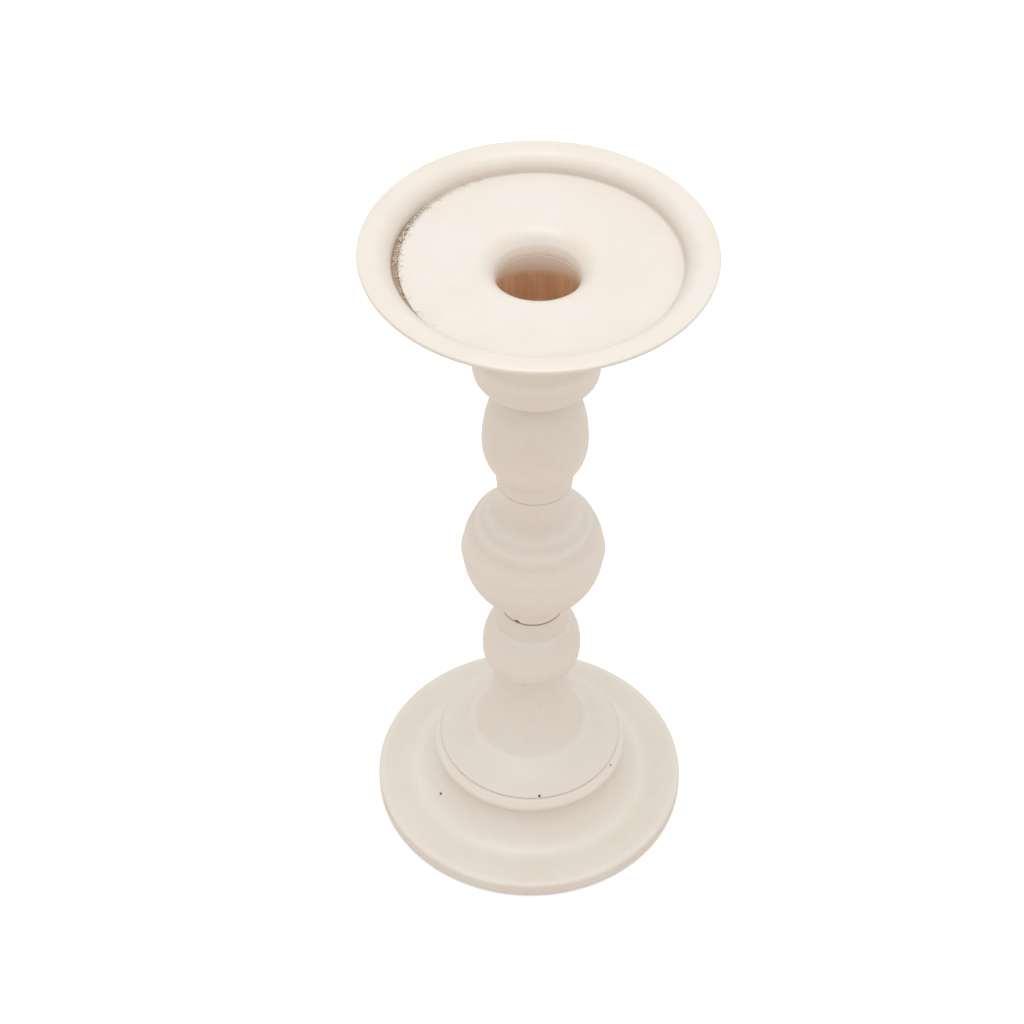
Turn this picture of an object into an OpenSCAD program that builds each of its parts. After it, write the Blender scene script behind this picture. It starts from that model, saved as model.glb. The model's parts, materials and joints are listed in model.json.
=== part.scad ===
// Turned wooden candlestick with a drip pan.
// Seven turned sections are stacked on one axis and held by glued dowels, two turned spigots
// and a wood screw that comes up through the foot.  Every section is a solid of revolution:
// its outline is a list of [radius, height] points, measured from the section's own lower face.

/* [Foot] */
// Diameter of the foot
foot_d = 101.3; // [84:0.1:124]
// Height of the foot's outer edge
foot_edge_h = 5.2; // [4:0.1:7]
// Rounding of the foot's upper edge
foot_edge_round = 1.1; // [0.4:0.1:1.6]
// Rounding of the foot's lower edge
foot_base_round = 0.6; // [0.3:0.1:1.2]
// Rise of the foot's nearly flat top, from its edge to the cove
foot_rise = 0.6; // [0.2:0.1:1.4]
// Height of the cove between the flat top and the beaded tier
cove_h = 11.8; // [9:0.1:15]
// Width of the cove
cove_w = 8.6; // [6:0.1:11]
// Depth of the cove below the straight line between its two ends
cove_dip = 2.4; // [1:0.1:3]
// Diameter of the beaded tier over its bead
tier_d = 62.8; // [52:0.1:64]
// Height of the bead round the tier
tier_bead_h = 5.9; // [4.5:0.1:7.5]
// How far the tier's bead stands out
tier_bead_proud = 1.35; // [0.8:0.05:2]

/* [Pedestal] */
// Width of the tier's ledge left round the pedestal
pedestal_ledge = 0.55; // [0.3:0.05:2]
// Height of the pedestal's low dome
dome_h = 7; // [5:0.1:9]
// How far the dome swells above the straight line between its two ends
dome_swell = 0.7; // [0.3:0.05:1.2]
// Diameter at the crease between the dome and the stem
stem_base_d = 35; // [30:0.1:42]
// Height of the long cove that leads up to the stem
stem_cove_h = 26.5; // [21:0.1:34]
// Depth of that cove below the straight line between its two ends
stem_cove_dip = 1.4; // [0.5:0.1:2]
// Diameter of the stem under the lower ball
stem_d = 24; // [19:0.1:29]
// Height of the straight stem
stem_h = 6.7; // [5:0.1:10]
// Diameter of the tenon that goes down into the foot
tenon_d = 20; // [16:0.5:25]
// Length of that tenon
tenon_l = 8; // [6:0.5:10]

/* [Lower ball] */
// Diameter of the lower ball
lower_ball_d = 31.4; // [29:0.1:38]
// Diameter of the lower ball's sharp bottom edge
lower_base_d = 30.6; // [29:0.1:31]
// Height from the lower ball's bottom edge to its widest part
lower_ball_low_h = 3.7; // [3:0.1:5]
// Height from its widest part up to its upper edge
lower_ball_high_h = 10.4; // [8.5:0.1:12.5]
// Diameter at that upper edge
lower_top_d = 26.8; // [24:0.1:28]
// Width of the sloping ledge between the upper edge and the neck
lower_ledge_w = 2.2; // [1.2:0.1:2.2]
// Height of that ledge
lower_ledge_h = 1.7; // [1:0.1:2.5]
// Height of the neck above the ledge
lower_neck_h = 6; // [4.5:0.1:7.5]

/* [Middle ball] */
// Diameter of the joint between the lower and the middle ball
lower_joint_d = 19.8; // [16.5:0.1:20.4]
// Height of the neck under the middle ball
middle_foot_h = 6.7; // [5:0.1:9]
// Diameter at the top of that neck
middle_foot_d = 22.4; // [21:0.1:24]
// Diameter where the middle ball starts
middle_start_d = 24.2; // [24.1:0.1:28]
// Diameter of the middle ball
middle_ball_d = 43.6; // [40:0.1:53]
// Height from the ball's start to its widest part
middle_ball_low_h = 18; // [15:0.1:23]
// Height of the thin bead round the middle ball
middle_bead_h = 2; // [1.2:0.1:3]
// How far that bead stands out
middle_bead_proud = 0.45; // [0.2:0.05:0.8]
// Height from the bead up to the foot of the shoulder ring
middle_shoulder_h = 7.6; // [6:0.1:9.5]
// Diameter of the shoulder ring
middle_shoulder_d = 38.6; // [35:0.1:39]
// Width of the small step at the foot of the shoulder ring
shoulder_step = 0.25; // [0.1:0.05:0.5]
// Height of the shoulder ring's upright side
shoulder_side_h = 1.6; // [1:0.1:2.4]
// Width of the shoulder ring's sloping top
shoulder_top_w = 2.2; // [1.4:0.1:3]
// Height of that sloping top
shoulder_top_h = 1.3; // [0.8:0.1:1.8]
// Width of the riser between the shoulder ring and the cap ring
riser_w = 0.8; // [0.4:0.1:1.2]
// Height of that riser
riser_h = 1.9; // [1.2:0.1:2.6]
// Width of the cap ring's sloping top
cap_top_w = 3; // [2:0.1:3.2]
// Height of that sloping top
cap_top_h = 2.1; // [1.4:0.1:2.8]
// How far each ring's top is crowned above the straight line between its two ends
ring_crown = 0.25; // [0.1:0.05:0.4]
// Height of the cove between the cap ring and the neck
cap_cove_h = 3.4; // [2.4:0.1:4.4]
// Depth of that cove below the straight line between its two ends
cap_cove_dip = 0.45; // [0.2:0.05:0.8]
// Height of the neck above the cove
middle_neck_h = 9.7; // [7.5:0.1:12]

/* [Upper bulb] */
// Diameter of the joint between the middle ball and the upper bulb
upper_joint_d = 22.6; // [18.5:0.1:23.4]
// Height of the small ring at the foot of the upper bulb
upper_ring_h = 2.2; // [1.5:0.1:3]
// How far that ring stands out
upper_ring_proud = 0.35; // [0.1:0.05:0.6]
// Height of the neck between the ring and the bulb
upper_foot_h = 4.2; // [3:0.1:6]
// Diameter where the bulb starts
upper_start_d = 24.6; // [24:0.1:27]
// Diameter of the upper bulb
upper_bulb_d = 31.8; // [29:0.1:39]
// Height from the bulb's start to its widest part
upper_bulb_low_h = 10.5; // [8:0.1:13]
// Height from its widest part to its rounded top
upper_bulb_high_h = 14.8; // [12:0.1:18]
// Diameter where the rounded top starts
upper_cap_start_d = 27.2; // [25:0.1:28.5]
// Height of the rounded top
upper_cap_h = 5.3; // [4:0.1:7]
// Diameter at the end of the rounded top
upper_cap_end_d = 19.6; // [19.4:0.1:21]
// How far the rounded top swells above the straight line between its two ends
upper_cap_swell = 0.4; // [0.15:0.05:0.8]
// Height of the short neck under the socket cup
upper_neck_h = 3.2; // [2:0.1:5]

/* [Socket cup] */
// Diameter of the hole for the candle
socket_d = 23.4; // [19:0.1:29]
// Depth of the candle's hole below the floor of the pan
socket_depth = 25; // [20:0.5:32]
// Thickness of the cup's wall at its waist
cup_wall = 6.6; // [5.5:0.1:8]
// Diameter of the joint between the upper bulb and the cup
cup_joint_d = 19; // [16:0.1:19.2]
// Height of the cup's hollow underside
cup_under_h = 3.9; // [3:0.1:5]
// How far the cup's lower edge stands out from its waist
cup_edge_proud = 0.1; // [0.05:0.05:0.8]
// Height of the plain band above the lower edge
cup_band_h = 6.3; // [5:0.1:8]
// How far the top of the band stands out from the waist
cup_band_proud = 0.9; // [0.5:0.1:1.6]
// Height of the bead above the band
cup_bead_h = 4.4; // [3.5:0.1:6]
// How far the bead stands out from the straight line between the band and the waist
cup_bead_proud = 0.9; // [0.3:0.05:1.2]
// How far the top of the cup flares out from its waist
cup_flare = 0.4; // [0.2:0.1:1.6]
// Depth of the long hollow between the bead and the top of the cup
cup_hollow = 0.3; // [0.2:0.05:0.8]
// Wood left between the candle's hole and the dowel's hole
cup_floor = 5.6; // [3:0.1:8]
// Wall of the spigot that the pan is glued round
spigot_wall = 3.3; // [2:0.1:4.4]
// Height of that spigot
spigot_h = 2.6; // [2.5:0.1:5.5]

/* [Pan] */
// Diameter of the pan
pan_d = 100; // [83:0.5:122]
// Height of the pan's rim above its lowest face
pan_h = 14.7; // [13:0.1:18]
// Depth of the dish below the lip's inner edge
dish_depth = 4.7; // [3.5:0.1:6.5]
// Width of the lip round the dish
lip_w = 6; // [4:0.1:8]
// How far the lip is crowned above its two edges
lip_crown = 0.4; // [0.1:0.05:0.8]
// Thickness of the rim at the lip's outer edge
rim_edge_h = 1.6; // [1.3:0.1:2.4]
// Rounding of the lip's outer edges
rim_round = 0.5; // [0.2:0.05:0.6]
// Width of the slope from the lip down to the step round the dish's floor
slope_w = 3.2; // [2:0.1:5]
// Width of the steep step between the slope and the floor
step_w = 0.4; // [0.2:0.1:1]
// Height of that step above the floor
step_h = 1.9; // [1:0.1:2.8]
// Width of the fine groove round the dish's floor
groove_w = 0.8; // [0.5:0.1:1.6]
// Depth of that groove
groove_h = 0.6; // [0.3:0.1:1.2]
// Width of the slanting underside, from the rim in to the flat
under_w = 20; // [16:0.1:22]
// How far the slanting underside swells below the straight line between its two ends
under_swell = 1; // [0.3:0.1:1.5]
// Rounding of the mouth of the candle's hole
mouth_round = 7; // [5:0.1:8]

/* [Joinery] */
// Diameter of the dowels
dowel_d = 8; // [6:0.1:10]
// How far a dowel goes into a blind hole
dowel_grip = 12; // [9:0.5:15]
// Number of flutes pressed into a dowel
dowel_flutes = 10; // [6:1:16]
// Radius of those flutes
flute_r = 0.35; // [0.2:0.05:0.5]
// Chamfer on a dowel's ends
dowel_chamfer = 0.8; // [0.4:0.1:1.2]
// Clearance all round a dowel, a tenon or a spigot, which the glue fills
glue_gap = 0.1; // [0.05:0.05:0.2]
// Space left past the end of a dowel or a screw
end_gap = 0.5; // [0.2:0.1:1]
// Small chamfer on the outer edges where two sections meet
arris = 0.3; // [0.2:0.05:0.5]

/* [Screw] */
// Diameter of the wood screw over its thread
screw_d = 4.5; // [3.5:0.1:5.4]
// Diameter of the screw's core
screw_core_d = 3.2; // [2.4:0.1:3.4]
// Diameter of the countersunk head
screw_head_d = 9; // [7:0.1:11]
// Height of the head's cylindrical edge
screw_head_edge = 0.6; // [0.3:0.1:1]
// How deep the head is sunk into the foot
screw_sink = 1; // [0.5:0.1:2]
// How far the screw goes into the pedestal, past the top of the foot
screw_bite = 19; // [15:0.5:23]
// Pitch of the screw's thread
screw_pitch = 2; // [1.6:0.1:2.4]
// Length of the screw's pointed end
screw_tip = 5; // [4:0.1:7]
// Clearance round the screw in the foot and in the pedestal
screw_gap = 0.2; // [0.1:0.05:0.4]
// Width of each slot of the cross recess
recess_w = 1.1; // [0.8:0.1:1.4]
// Length of each slot of the cross recess
recess_l = 5; // [4:0.1:6]
// Depth of the cross recess
recess_h = 2; // [1.2:0.1:2.4]

/* [Felt] */
// Thickness of the felt disc
felt_t = 2; // [1.6:0.1:3]
// How far the felt stands out below the wood
felt_proud = 0.5; // [0.3:0.1:1.2]
// Width of the wooden rim left round the felt
felt_rim = 5; // [3:0.1:9]
// Clearance round the felt in its recess
felt_gap = 0.3; // [0.1:0.05:0.6]

/* [Hidden] */
$fn = 96;
// Number of straight steps along each arc of an outline
arc_steps = 14;
// Overlap that lets a cut run cleanly past a face
eps = 0.01;

// Radii
foot_r = foot_d / 2;
tier_r = tier_d / 2;
tier_wall_r = tier_r - tier_bead_proud;
pedestal_r = tier_wall_r - pedestal_ledge;
stem_r = stem_d / 2;
lower_joint_r = lower_joint_d / 2;
upper_joint_r = upper_joint_d / 2;
cup_joint_r = cup_joint_d / 2;
shoulder_r = middle_shoulder_d / 2;
riser_r = shoulder_r - shoulder_top_w;
cap_ring_r = riser_r - riser_w;
cap_cove_r = cap_ring_r - cap_top_w;
socket_r = socket_d / 2;
cup_waist_r = socket_r + cup_wall;
cup_edge_r = cup_waist_r + cup_edge_proud;
cup_band_r = cup_waist_r + cup_band_proud;
spigot_r = socket_r + spigot_wall;
pan_r = pan_d / 2;
dish_r = pan_r - lip_w - slope_w - step_w;
dowel_hole_r = dowel_d / 2 + glue_gap;
felt_recess_r = foot_r - felt_rim;

// Heights of the sections
felt_recess = felt_t - felt_proud;
foot_top_h = foot_edge_h + foot_rise;
foot_h = foot_top_h + cove_h + tier_bead_h;
pedestal_h = dome_h + stem_cove_h + stem_h;
lower_top_z = lower_ball_low_h + lower_ball_high_h;
lower_h = lower_top_z + lower_ledge_h + lower_neck_h;
middle_widest_h = middle_foot_h + middle_ball_low_h;
middle_shoulder_z = middle_widest_h + middle_bead_h + middle_shoulder_h;
shoulder_top_z = middle_shoulder_z + shoulder_side_h;
riser_z = shoulder_top_z + shoulder_top_h;
cap_ring_z = riser_z + riser_h;
cap_cove_z = cap_ring_z + cap_top_h;
middle_neck_z = cap_cove_z + cap_cove_h;
middle_h = middle_neck_z + middle_neck_h;
upper_start_z = upper_ring_h + upper_foot_h;
upper_widest_z = upper_start_z + upper_bulb_low_h;
upper_cap_z = upper_widest_z + upper_bulb_high_h;
upper_neck_z = upper_cap_z + upper_cap_h;
upper_h = upper_neck_z + upper_neck_h;
lip_h = pan_h - lip_crown;
pan_floor_h = lip_h - dish_depth;
socket_in_cup = socket_depth - pan_floor_h;
cup_h = dowel_grip + end_gap + cup_floor + socket_in_cup;
cup_band_z = cup_under_h + cup_band_h;
cup_bead_z = cup_band_z + cup_bead_h;

// Heights of the joint faces above the table
foot_z = felt_proud;
pedestal_z = foot_z + foot_h;
lower_z = pedestal_z + pedestal_h;
middle_z = lower_z + lower_h;
upper_z = middle_z + middle_h;
cup_z = upper_z + upper_h;
pan_z = cup_z + cup_h;

// The screw, measured from its head
screw_head_h = screw_head_edge + (screw_head_d - screw_d) / 2;
screw_head_z = foot_z + felt_recess + screw_sink;
screw_l = pedestal_z + screw_bite - screw_head_z;
screw_thread_l = screw_bite + tenon_l - screw_tip;
screw_thread_z = screw_l - screw_tip - screw_thread_l;
screw_threads = floor(screw_thread_l / screw_pitch);
// Shares of the pitch taken by each flank and by the crest of the thread
thread_flank = 0.3;
thread_crest = 0.1;
thread_ring_h = screw_pitch * (2 * thread_flank + thread_crest);

// Colours
paint = [0.90, 0.86, 0.80];
beech = [0.72, 0.55, 0.38];
steel = [0.72, 0.72, 0.74];
felt_green = [0.24, 0.32, 0.26];

// ---- Outlines ----

// Points along the arc from p to q whose middle stands out by rise from the straight line
// between them.  Going up the outside of an outline, a negative rise makes a hollow.
function arc(p, q, rise) =
    let (
        chord = q - p,
        reach = norm(chord) / 2,
        along = chord / norm(chord),
        out = [along[1], -along[0]],
        half = 2 * atan(rise / reach),
        radius = reach / sin(half)
    )
    [for (i = [0:arc_steps])
        let (turn = half * (2 * i / arc_steps - 1))
        (p + q) / 2 + out * radius * (cos(turn) - cos(half)) + along * radius * sin(turn)];

// A rounded corner of the given size, from p to q, which stand that size apart both ways
function corner(p, q, size) = arc(p, q, size * (1 - cos(45)));

// A point on the arc that leaves the widest point upright and ends at another point
function ball_point(widest, end, part) =
    let (
        narrowing = widest[0] - end[0],
        height = end[1] - widest[1],
        radius = (narrowing * narrowing + height * height) / (2 * narrowing),
        turn = atan2(height, radius - narrowing) * part
    )
    widest + [radius * (cos(turn) - 1), radius * sin(turn)];

// The lower half of a ball, from its start up to its widest point
function ball_below(start, widest) =
    [for (i = [arc_steps:-1:0]) ball_point(widest, start, i / arc_steps)];

// The upper half of a ball, from its widest point up to its end
function ball_above(widest, end) =
    [for (i = [0:arc_steps]) ball_point(widest, end, i / arc_steps)];

// Closes an outline down to the axis
function closed(points) =
    concat([[0, points[0][1]]], points, [[0, points[len(points) - 1][1]]]);

// A plain hole on the axis, in an outline
module hole_outline(r, from_z, to_z) {
    translate([0, from_z])
        square([r, to_z - from_z]);
}

// A blind dowel hole that goes down from a section's upper face
module hole_down(top_z) {
    hole_outline(dowel_hole_r, top_z - dowel_grip - end_gap, top_z + eps);
}

// A blind dowel hole that goes up from a section's lower face
module hole_up() {
    hole_outline(dowel_hole_r, -eps, dowel_grip + end_gap);
}

// ---- Foot ----

foot_outline = closed(concat(
    corner([foot_r - foot_base_round, 0], [foot_r, foot_base_round], foot_base_round),
    corner([foot_r, foot_edge_h - foot_edge_round], [foot_r - foot_edge_round, foot_edge_h],
        foot_edge_round),
    arc([tier_wall_r + cove_w, foot_top_h], [tier_wall_r, foot_top_h + cove_h], -cove_dip),
    arc([tier_wall_r, foot_top_h + cove_h], [tier_wall_r, foot_h], tier_bead_proud)
));

module foot() {
    color(paint)
        translate([0, 0, foot_z])
        rotate_extrude()
        difference() {
            polygon(foot_outline);
            hole_outline(felt_recess_r, -eps, felt_recess);
            hole_outline(tenon_d / 2 + glue_gap, foot_h - tenon_l - end_gap, foot_h + eps);
            hole_outline(screw_d / 2 + screw_gap, 0, foot_h);
            countersink_outline();
        }
}

// Room for the screw's head: a counterbore, and the cone that the head seats on.  Its cone is
// the head's own 45 degree cone, so it starts lower by the gap that makes it wider.
module countersink_outline() {
    translate([0, felt_recess])
        polygon([
            [0, -eps],
            [screw_head_d / 2 + screw_gap, -eps],
            [screw_head_d / 2 + screw_gap, screw_sink + screw_head_edge - screw_gap],
            [screw_d / 2 + screw_gap, screw_sink + screw_head_h - screw_gap],
            [0, screw_sink + screw_head_h - screw_gap]
        ]);
}

// ---- Pedestal ----

pedestal_outline = closed(concat(
    [[pedestal_r - arris, 0]],
    arc([pedestal_r, arris], [stem_base_d / 2, dome_h], dome_swell),
    arc([stem_base_d / 2, dome_h], [stem_r, dome_h + stem_cove_h], -stem_cove_dip),
    [[stem_r, pedestal_h - arris], [stem_r - arris, pedestal_h]]
));

module pedestal() {
    color(paint)
        translate([0, 0, pedestal_z])
        rotate_extrude()
        difference() {
            union() {
                polygon(pedestal_outline);
                hole_outline(tenon_d / 2, -tenon_l, eps);
            }
            hole_outline(screw_d / 2 + screw_gap, -tenon_l - eps, screw_bite + end_gap);
            hole_down(pedestal_h);
        }
}

// ---- Lower ball ----

lower_outline = closed(concat(
    ball_below([lower_base_d / 2, 0], [lower_ball_d / 2, lower_ball_low_h]),
    ball_above([lower_ball_d / 2, lower_ball_low_h], [lower_top_d / 2, lower_top_z]),
    [[lower_top_d / 2 - lower_ledge_w, lower_top_z + lower_ledge_h]],
    [[lower_joint_r, lower_h - arris], [lower_joint_r - arris, lower_h]]
));

module lower_ball() {
    color(paint)
        translate([0, 0, lower_z])
        rotate_extrude()
        difference() {
            polygon(lower_outline);
            hole_outline(dowel_hole_r, -eps, lower_h + eps);
        }
}

// ---- Middle ball ----

middle_outline = closed(concat(
    [[lower_joint_r - arris, 0], [lower_joint_r, arris], [middle_foot_d / 2, middle_foot_h]],
    ball_below([middle_start_d / 2, middle_foot_h], [middle_ball_d / 2, middle_widest_h]),
    arc([middle_ball_d / 2, middle_widest_h], [middle_ball_d / 2, middle_widest_h + middle_bead_h],
        middle_bead_proud),
    ball_above([middle_ball_d / 2, middle_widest_h + middle_bead_h],
        [shoulder_r + shoulder_step, middle_shoulder_z]),
    [[shoulder_r, middle_shoulder_z]],
    arc([shoulder_r, shoulder_top_z], [riser_r, riser_z], ring_crown),
    arc([cap_ring_r, cap_ring_z], [cap_cove_r, cap_cove_z], ring_crown),
    arc([cap_cove_r, cap_cove_z], [upper_joint_r, middle_neck_z], -cap_cove_dip),
    [[upper_joint_r, middle_h - arris], [upper_joint_r - arris, middle_h]]
));

module middle_ball() {
    color(paint)
        translate([0, 0, middle_z])
        rotate_extrude()
        difference() {
            polygon(middle_outline);
            hole_up();
            hole_down(middle_h);
        }
}

// ---- Upper bulb ----

upper_outline = closed(concat(
    [[upper_joint_r - arris, 0]],
    arc([upper_joint_r, arris], [upper_joint_r, upper_ring_h], upper_ring_proud),
    [[upper_joint_r, upper_start_z]],
    ball_below([upper_start_d / 2, upper_start_z], [upper_bulb_d / 2, upper_widest_z]),
    ball_above([upper_bulb_d / 2, upper_widest_z], [upper_cap_start_d / 2, upper_cap_z]),
    arc([upper_cap_start_d / 2, upper_cap_z], [upper_cap_end_d / 2, upper_neck_z], upper_cap_swell),
    [[cup_joint_r, upper_h - arris], [cup_joint_r - arris, upper_h]]
));

module upper_bulb() {
    color(paint)
        translate([0, 0, upper_z])
        rotate_extrude()
        difference() {
            polygon(upper_outline);
            hole_up();
            hole_down(upper_h);
        }
}

// ---- Socket cup ----

cup_outline = closed(concat(
    [[cup_joint_r - arris, 0], [cup_joint_r, arris]],
    [[cup_edge_r - arris, cup_under_h], [cup_edge_r, cup_under_h + arris]],
    [[cup_band_r, cup_band_z]],
    arc([cup_band_r, cup_band_z], [cup_waist_r, cup_bead_z], cup_bead_proud),
    arc([cup_waist_r, cup_bead_z], [cup_waist_r + cup_flare, cup_h], -cup_hollow)
));

module socket_cup() {
    color(paint)
        translate([0, 0, cup_z])
        rotate_extrude()
        difference() {
            union() {
                polygon(cup_outline);
                hole_outline(spigot_r, cup_h - eps, cup_h + spigot_h);
            }
            hole_up();
            hole_outline(socket_r, cup_h - socket_in_cup, cup_h + spigot_h + eps);
        }
}

// ---- Pan ----

rim_low_h = lip_h - rim_edge_h;

pan_outline = closed(concat(
    arc([pan_r - under_w, 0], [pan_r - rim_round, rim_low_h], under_swell),
    corner([pan_r - rim_round, rim_low_h], [pan_r, rim_low_h + rim_round], rim_round),
    corner([pan_r, lip_h - rim_round], [pan_r - rim_round, lip_h], rim_round),
    arc([pan_r - rim_round, lip_h], [pan_r - lip_w, lip_h], lip_crown)
));

dish_outline = [
    [0, pan_floor_h],
    [dish_r - groove_w, pan_floor_h],
    [dish_r - groove_w, pan_floor_h - groove_h],
    [dish_r, pan_floor_h - groove_h],
    [dish_r, pan_floor_h],
    [dish_r + step_w, pan_floor_h + step_h],
    [pan_r - lip_w, lip_h],
    [pan_r - lip_w, pan_h + eps],
    [0, pan_h + eps]
];

// The rounded mouth of the candle's hole
mouth_outline = concat(
    [[0, pan_floor_h - mouth_round]],
    corner([socket_r, pan_floor_h - mouth_round], [socket_r + mouth_round, pan_floor_h],
        -mouth_round),
    [[socket_r + mouth_round, pan_floor_h + eps], [0, pan_floor_h + eps]]
);

module pan() {
    color(paint)
        translate([0, 0, pan_z])
        rotate_extrude()
        difference() {
            polygon(pan_outline);
            polygon(dish_outline);
            polygon(mouth_outline);
            hole_outline(socket_r, -eps, pan_floor_h);
            hole_outline(spigot_r + glue_gap, -eps, spigot_h);
        }
}

// ---- Dowels ----

// A fluted dowel with chamfered ends, standing on the height from_z
module dowel(from_z, length) {
    translate([0, 0, from_z])
        intersection() {
            linear_extrude(length)
                difference() {
                    circle(d = dowel_d);
                    for (i = [1:dowel_flutes])
                        rotate(i * 360 / dowel_flutes)
                        translate([dowel_d / 2, 0])
                        circle(flute_r);
                }
            rotate_extrude()
                polygon([
                    [0, 0],
                    [dowel_d / 2 - dowel_chamfer, 0],
                    [dowel_d / 2 + eps, dowel_chamfer + eps],
                    [dowel_d / 2 + eps, length - dowel_chamfer - eps],
                    [dowel_d / 2 - dowel_chamfer, length],
                    [0, length]
                ]);
        }
}

// Runs from the pedestal right through the lower ball into the middle ball
module long_dowel() {
    color(beech)
        dowel(lower_z - dowel_grip, lower_h + 2 * dowel_grip);
}

module middle_dowel() {
    color(beech)
        dowel(upper_z - dowel_grip, 2 * dowel_grip);
}

module cup_dowel() {
    color(beech)
        dowel(cup_z - dowel_grip, 2 * dowel_grip);
}

// ---- Screw ----

// The screw's outline from its head up: head, plain shank, threaded core and point
screw_outline = [
    [0, 0],
    [screw_head_d / 2, 0],
    [screw_head_d / 2, screw_head_edge],
    [screw_d / 2, screw_head_h],
    [screw_d / 2, screw_thread_z],
    [screw_core_d / 2, screw_thread_z],
    [screw_core_d / 2, screw_l - screw_tip],
    [0, screw_l]
];

// One turn of the thread, as a ring with a sloping flank on each side
module thread_ring() {
    rotate_extrude()
        polygon([
            [0, 0],
            [screw_core_d / 2, 0],
            [screw_d / 2, screw_pitch * thread_flank],
            [screw_d / 2, screw_pitch * (thread_flank + thread_crest)],
            [screw_core_d / 2, thread_ring_h],
            [0, thread_ring_h]
        ]);
}

module foot_screw() {
    color(steel)
        translate([0, 0, screw_head_z])
        difference() {
            union() {
                rotate_extrude()
                    polygon(screw_outline);
                for (i = [0:screw_threads - 1])
                    translate([0, 0, screw_thread_z + (i + 1) * screw_pitch - thread_ring_h])
                    thread_ring();
            }
            for (turn = [0, 90])
                rotate(turn)
                translate([-recess_l / 2, -recess_w / 2, -eps])
                cube([recess_l, recess_w, recess_h]);
        }
}

// ---- Felt ----

module felt_pad() {
    color(felt_green)
        cylinder(r = felt_recess_r - felt_gap, h = felt_t);
}

felt_pad();
foot();
pedestal();
lower_ball();
middle_ball();
upper_bulb();
socket_cup();
pan();
foot_screw();
long_dowel();
middle_dowel();
cup_dowel();
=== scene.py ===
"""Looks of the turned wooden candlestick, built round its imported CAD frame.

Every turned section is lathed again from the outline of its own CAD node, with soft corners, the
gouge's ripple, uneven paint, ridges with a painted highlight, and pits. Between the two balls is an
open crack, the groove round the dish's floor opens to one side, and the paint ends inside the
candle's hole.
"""

import json
import math

import bpy
import numpy as np
from mathutils import Matrix, Vector


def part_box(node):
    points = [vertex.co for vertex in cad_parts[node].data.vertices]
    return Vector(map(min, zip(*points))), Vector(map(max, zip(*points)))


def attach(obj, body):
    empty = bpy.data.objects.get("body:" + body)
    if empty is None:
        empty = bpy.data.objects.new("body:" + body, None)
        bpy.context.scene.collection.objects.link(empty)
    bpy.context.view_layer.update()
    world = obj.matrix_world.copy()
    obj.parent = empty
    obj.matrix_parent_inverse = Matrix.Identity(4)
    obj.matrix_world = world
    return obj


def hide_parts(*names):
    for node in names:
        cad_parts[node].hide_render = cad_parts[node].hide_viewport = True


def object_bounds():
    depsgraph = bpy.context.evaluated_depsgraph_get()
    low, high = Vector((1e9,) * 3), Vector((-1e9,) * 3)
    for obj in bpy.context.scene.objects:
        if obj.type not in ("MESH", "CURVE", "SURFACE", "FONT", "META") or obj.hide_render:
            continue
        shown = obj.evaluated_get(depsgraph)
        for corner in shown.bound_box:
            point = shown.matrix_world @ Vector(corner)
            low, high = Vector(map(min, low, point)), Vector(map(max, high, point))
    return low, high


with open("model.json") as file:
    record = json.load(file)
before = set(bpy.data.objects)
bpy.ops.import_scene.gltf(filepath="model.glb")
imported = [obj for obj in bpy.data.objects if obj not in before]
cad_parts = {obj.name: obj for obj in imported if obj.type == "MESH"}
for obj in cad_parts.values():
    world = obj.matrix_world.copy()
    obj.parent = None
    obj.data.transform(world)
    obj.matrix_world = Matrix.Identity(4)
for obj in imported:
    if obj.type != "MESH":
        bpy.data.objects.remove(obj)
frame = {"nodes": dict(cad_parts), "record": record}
cad_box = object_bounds()

MM = 0.001

# ---- Stage ----

# The camera, as recovered from the outlines of the pan and the foot
SENSOR = 36.0
LENS = 86.417
CAMERA_BACK = 524.84
CAMERA_UP = 654.82
PITCH, YAW, ROLL = (math.radians(a) for a in (45.205, -0.7221, -0.5416))

FLOOR_SIZE = 6.0
FLOOR_DROP = 0.0001

OVERHEAD_AT = (-0.03, -0.10, 1.5)
OVERHEAD_SIZE = 0.8
OVERHEAD_POWER = 5.9

ZENITH = (1.0, 1.0, 1.0)
HORIZON = (1.0, 0.970, 0.935)
SKY_STRENGTH = 1.0
SKY_LOW = 0.96


def make_camera():
    ahead = np.array([math.sin(YAW), math.cos(YAW), 0])
    level = np.array([math.cos(YAW), -math.sin(YAW), 0])
    forward = math.cos(PITCH) * ahead - np.array([0, 0, math.sin(PITCH)])
    down = np.cross(forward, level)
    across = math.cos(ROLL) * level + math.sin(ROLL) * down
    up = math.sin(ROLL) * level - math.cos(ROLL) * down
    place = Matrix(np.column_stack([across, up, -forward]).tolist()).to_4x4()
    place.translation = Vector((0, -CAMERA_BACK * MM, CAMERA_UP * MM))
    data = bpy.data.cameras.new("camera")
    data.lens, data.sensor_width = LENS, SENSOR
    data.clip_start, data.clip_end = 0.01, 20
    camera = bpy.data.objects.new("camera", data)
    camera.matrix_world = place
    bpy.context.collection.objects.link(camera)
    bpy.context.scene.camera = camera


def make_light(name, place, size, power):
    data = bpy.data.lights.new(name, "AREA")
    data.shape, data.size, data.energy = "DISK", size, power
    light = bpy.data.objects.new(name, data)
    light.location = place
    aim = Vector((0, 0, cad_box[1].z / 2)) - Vector(place)
    light.rotation_euler = aim.to_track_quat("-Z", "Y").to_euler()
    bpy.context.collection.objects.link(light)


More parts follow.
